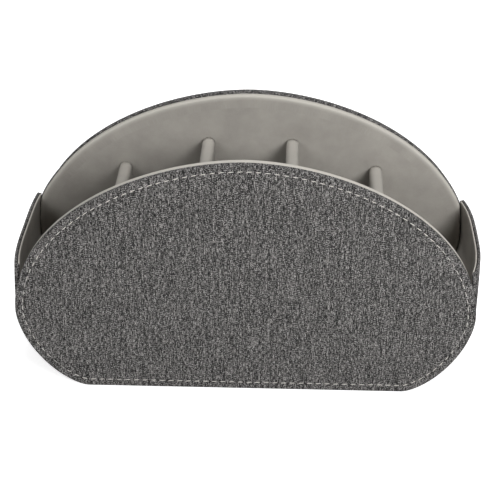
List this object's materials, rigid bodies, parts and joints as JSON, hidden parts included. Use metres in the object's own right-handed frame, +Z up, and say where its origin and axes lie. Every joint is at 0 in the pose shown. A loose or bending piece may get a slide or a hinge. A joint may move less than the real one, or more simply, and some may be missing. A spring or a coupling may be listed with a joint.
{
  "type": "bedside caddy",
  "caption": "Free-standing bedside caddy with dome-shaped cloth panels, suede-lined compartments and padded dividers.",
  "frame": {"origin": "middle of the footprint, on the surface that the caddy stands on", "axes": "+X across the width to the right seen from the front, +Y from the front panel to the rear panel, +Z up"},
  "size_m": [0.265, 0.1008, 0.144],
  "materials": {
    "linen_look_cloth": "heathered grey linen-look weave, matt",
    "suede_lining": "warm grey suede-like nap, matt",
    "greyboard": "plain grey-brown board",
    "foam": "white soft foam"
  },
  "bodies": {
    "root": {"front_cover": "linen_look_cloth", "rear_cover": "linen_look_cloth", "left_side_cover": "linen_look_cloth", "right_side_cover": "linen_look_cloth", "base_cover": "linen_look_cloth", "front_lining": "suede_lining", "rear_lining": "suede_lining", "left_side_lining": "suede_lining", "right_side_lining": "suede_lining", "base_lining": "suede_lining", "divider_1_cover": "suede_lining", "divider_2_cover": "suede_lining", "divider_3_cover": "suede_lining", "divider_4_cover": "suede_lining", "front_board": "greyboard", "rear_board": "greyboard", "left_side_card": "greyboard", "right_side_card": "greyboard", "base_board": "greyboard", "divider_1_board": "greyboard", "divider_2_board": "greyboard", "divider_3_board": "greyboard", "divider_4_board": "greyboard", "front_padding": "foam", "rear_padding": "foam", "divider_1_padding": "foam", "divider_2_padding": "foam", "divider_3_padding": "foam", "divider_4_padding": "foam"}
  },
  "joints": []
}
